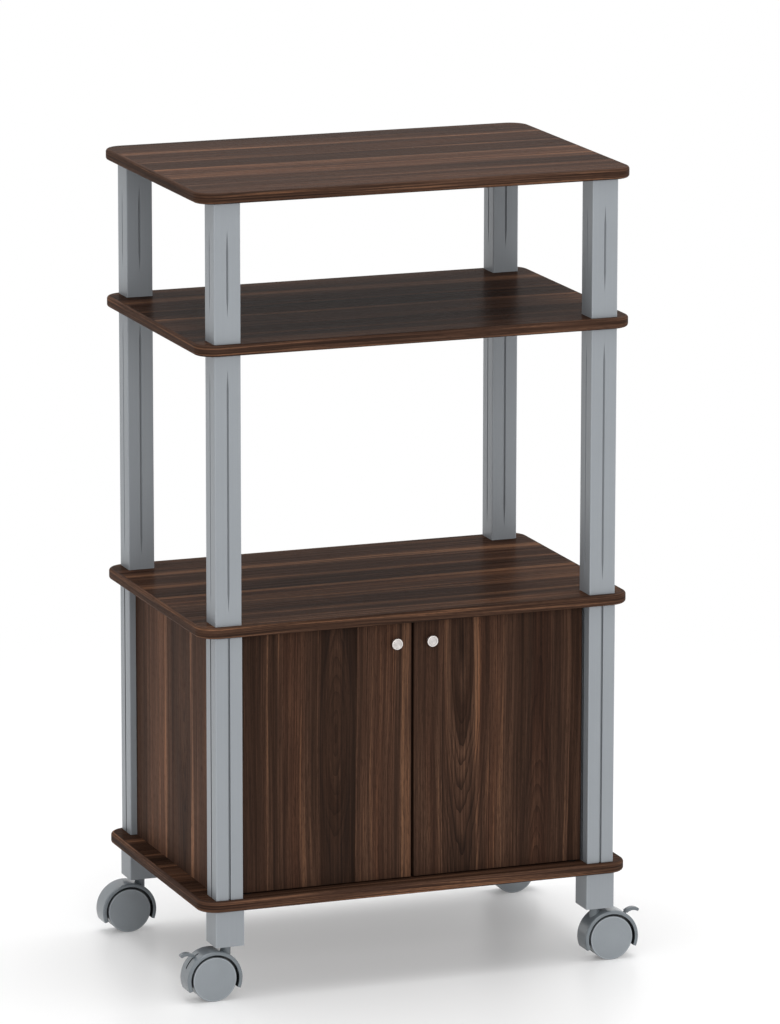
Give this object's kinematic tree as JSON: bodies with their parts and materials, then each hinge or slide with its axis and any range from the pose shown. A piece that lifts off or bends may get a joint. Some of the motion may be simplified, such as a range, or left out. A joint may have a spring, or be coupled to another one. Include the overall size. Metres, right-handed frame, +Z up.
{
  "type": "microwave cart",
  "caption": "Tall kitchen cart: wood-look shelves on square grey posts, an open appliance bay over a two-door cabinet, on hooded twin-wheel casters with brake levers.",
  "frame": {"origin": "on the floor, under the middle of the boards", "axes": "+X to the cart's right as seen from its doors, +Y to its back, +Z up"},
  "size_m": [0.647, 0.4, 1.071],
  "materials": {
    "walnut_boards": "dark walnut laminate on fibreboard, satin",
    "walnut_edging": "dark walnut edging, satin",
    "walnut_panels": "dark walnut laminate with upright grain, satin",
    "post_grey": "silver-grey satin plastic tube",
    "caster_grey": "blue-grey satin moulded plastic",
    "knob_metal": "satin nickel",
    "zinc_steel": "zinc-plated steel",
    "white_nylon": "white nylon",
    "black_plastic": "black moulded plastic"
  },
  "bodies": {
    "frame": {"top_board": "walnut_boards", "middle_board": "walnut_boards", "cabinet_board": "walnut_boards", "base_board": "walnut_boards", "top_board_edging": "walnut_edging", "middle_board_edging": "walnut_edging", "cabinet_board_edging": "walnut_edging", "base_board_edging": "walnut_edging", "upper_post_front_left": "post_grey", "upper_post_front_right": "post_grey", "upper_post_rear_left": "post_grey", "upper_post_rear_right": "post_grey", "middle_post_front_left": "post_grey", "middle_post_front_right": "post_grey", "middle_post_rear_left": "post_grey", "middle_post_rear_right": "post_grey", "cabinet_post_front_left": "post_grey", "cabinet_post_front_right": "post_grey", "cabinet_post_rear_left": "post_grey", "cabinet_post_rear_right": "post_grey", "foot_block_front_left": "post_grey", "foot_block_front_right": "post_grey", "foot_block_rear_left": "post_grey", "foot_block_rear_right": "post_grey", "side_panel_left": "walnut_panels", "side_panel_right": "walnut_panels", "back_panel": "walnut_panels", "pivot_bushes": "black_plastic", "magnetic_catch": "white_nylon", "joining_studs": "zinc_steel", "post_end_plugs": "black_plastic", "caster_stems": "zinc_steel"},
    "door_left_body": {"door_left": "walnut_panels", "door_knob_left": "knob_metal", "knob_screw_left": "zinc_steel", "door_pivot_pins_left": "zinc_steel", "strike_plate_left": "zinc_steel"},
    "door_right_body": {"door_right": "walnut_panels", "door_knob_right": "knob_metal", "knob_screw_right": "zinc_steel", "door_pivot_pins_right": "zinc_steel", "strike_plate_right": "zinc_steel"},
    "caster_front_left": {"caster_hood_front_left": "caster_grey", "caster_axle_front_left": "zinc_steel"},
    "outer_wheel_front_left": {"wheel_outer_front_left": "caster_grey"},
    "inner_wheel_front_left": {"wheel_inner_front_left": "caster_grey"},
    "brake_left": {"brake_lever_front_left": "caster_grey"},
    "caster_front_right": {"caster_hood_front_right": "caster_grey", "caster_axle_front_right": "zinc_steel"},
    "outer_wheel_front_right": {"wheel_outer_front_right": "caster_grey"},
    "inner_wheel_front_right": {"wheel_inner_front_right": "caster_grey"},
    "brake_right": {"brake_lever_front_right": "caster_grey"},
    "caster_rear_left": {"caster_hood_rear_left": "caster_grey", "caster_axle_rear_left": "zinc_steel"},
    "outer_wheel_rear_left": {"wheel_outer_rear_left": "caster_grey"},
    "inner_wheel_rear_left": {"wheel_inner_rear_left": "caster_grey"},
    "caster_rear_right": {"caster_hood_rear_right": "caster_grey", "caster_axle_rear_right": "zinc_steel"},
    "outer_wheel_rear_right": {"wheel_outer_rear_right": "caster_grey"},
    "inner_wheel_rear_right": {"wheel_inner_rear_right": "caster_grey"}
  },
  "joints": [
    {"name": "door_left_hinge", "type": "hinge", "parent": "frame", "child": "door_left_body", "pos_m": [-0.22912, -0.1692, 0.137], "axis": [0, 0, -1], "range_deg": [0, 100]},
    {"name": "door_right_hinge", "type": "hinge", "parent": "frame", "child": "door_right_body", "pos_m": [0.22912, -0.1692, 0.137], "axis": [0, 0, 1], "range_deg": [0, 100]},
    {"name": "swivel_front_left", "type": "hinge", "parent": "frame", "child": "caster_front_left", "pos_m": [-0.2606, -0.175, 0.0722], "axis": [0, 0, 1], "continuous": true},
    {"name": "roll_outer_front_left", "type": "hinge", "parent": "caster_front_left", "child": "outer_wheel_front_left", "pos_m": [-0.2799, -0.175, 0.03], "axis": [0, 1, 0], "continuous": true},
    {"name": "roll_inner_front_left", "type": "hinge", "parent": "caster_front_left", "child": "inner_wheel_front_left", "pos_m": [-0.2799, -0.175, 0.03], "axis": [0, 1, 0], "continuous": true},
    {"name": "brake_left_press", "type": "hinge", "parent": "caster_front_left", "child": "brake_left", "pos_m": [-0.2799, -0.175, 0.03], "axis": [0, -1, 0], "range_deg": [-5, 20]},
    {"name": "swivel_front_right", "type": "hinge", "parent": "frame", "child": "caster_front_right", "pos_m": [0.2606, -0.175, 0.0722], "axis": [0, 0, 1], "continuous": true},
    {"name": "roll_outer_front_right", "type": "hinge", "parent": "caster_front_right", "child": "outer_wheel_front_right", "pos_m": [0.2799, -0.175, 0.03], "axis": [0, 1, 0], "continuous": true},
    {"name": "roll_inner_front_right", "type": "hinge", "parent": "caster_front_right", "child": "inner_wheel_front_right", "pos_m": [0.2799, -0.175, 0.03], "axis": [0, 1, 0], "continuous": true},
    {"name": "brake_right_press", "type": "hinge", "parent": "caster_front_right", "child": "brake_right", "pos_m": [0.2799, -0.175, 0.03], "axis": [0, 1, 0], "range_deg": [-5, 20]},
    {"name": "swivel_rear_left", "type": "hinge", "parent": "frame", "child": "caster_rear_left", "pos_m": [-0.2606, 0.175, 0.0722], "axis": [0, 0, 1], "continuous": true},
    {"name": "roll_outer_rear_left", "type": "hinge", "parent": "caster_rear_left", "child": "outer_wheel_rear_left", "pos_m": [-0.2799, 0.175, 0.03], "axis": [0, 1, 0], "continuous": true},
    {"name": "roll_inner_rear_left", "type": "hinge", "parent": "caster_rear_left", "child": "inner_wheel_rear_left", "pos_m": [-0.2799, 0.175, 0.03], "axis": [0, 1, 0], "continuous": true},
    {"name": "swivel_rear_right", "type": "hinge", "parent": "frame", "child": "caster_rear_right", "pos_m": [0.2606, 0.175, 0.0722], "axis": [0, 0, 1], "continuous": true},
    {"name": "roll_outer_rear_right", "type": "hinge", "parent": "caster_rear_right", "child": "outer_wheel_rear_right", "pos_m": [0.2799, 0.175, 0.03], "axis": [0, 1, 0], "continuous": true},
    {"name": "roll_inner_rear_right", "type": "hinge", "parent": "caster_rear_right", "child": "inner_wheel_rear_right", "pos_m": [0.2799, 0.175, 0.03], "axis": [0, 1, 0], "continuous": true}
  ]
}
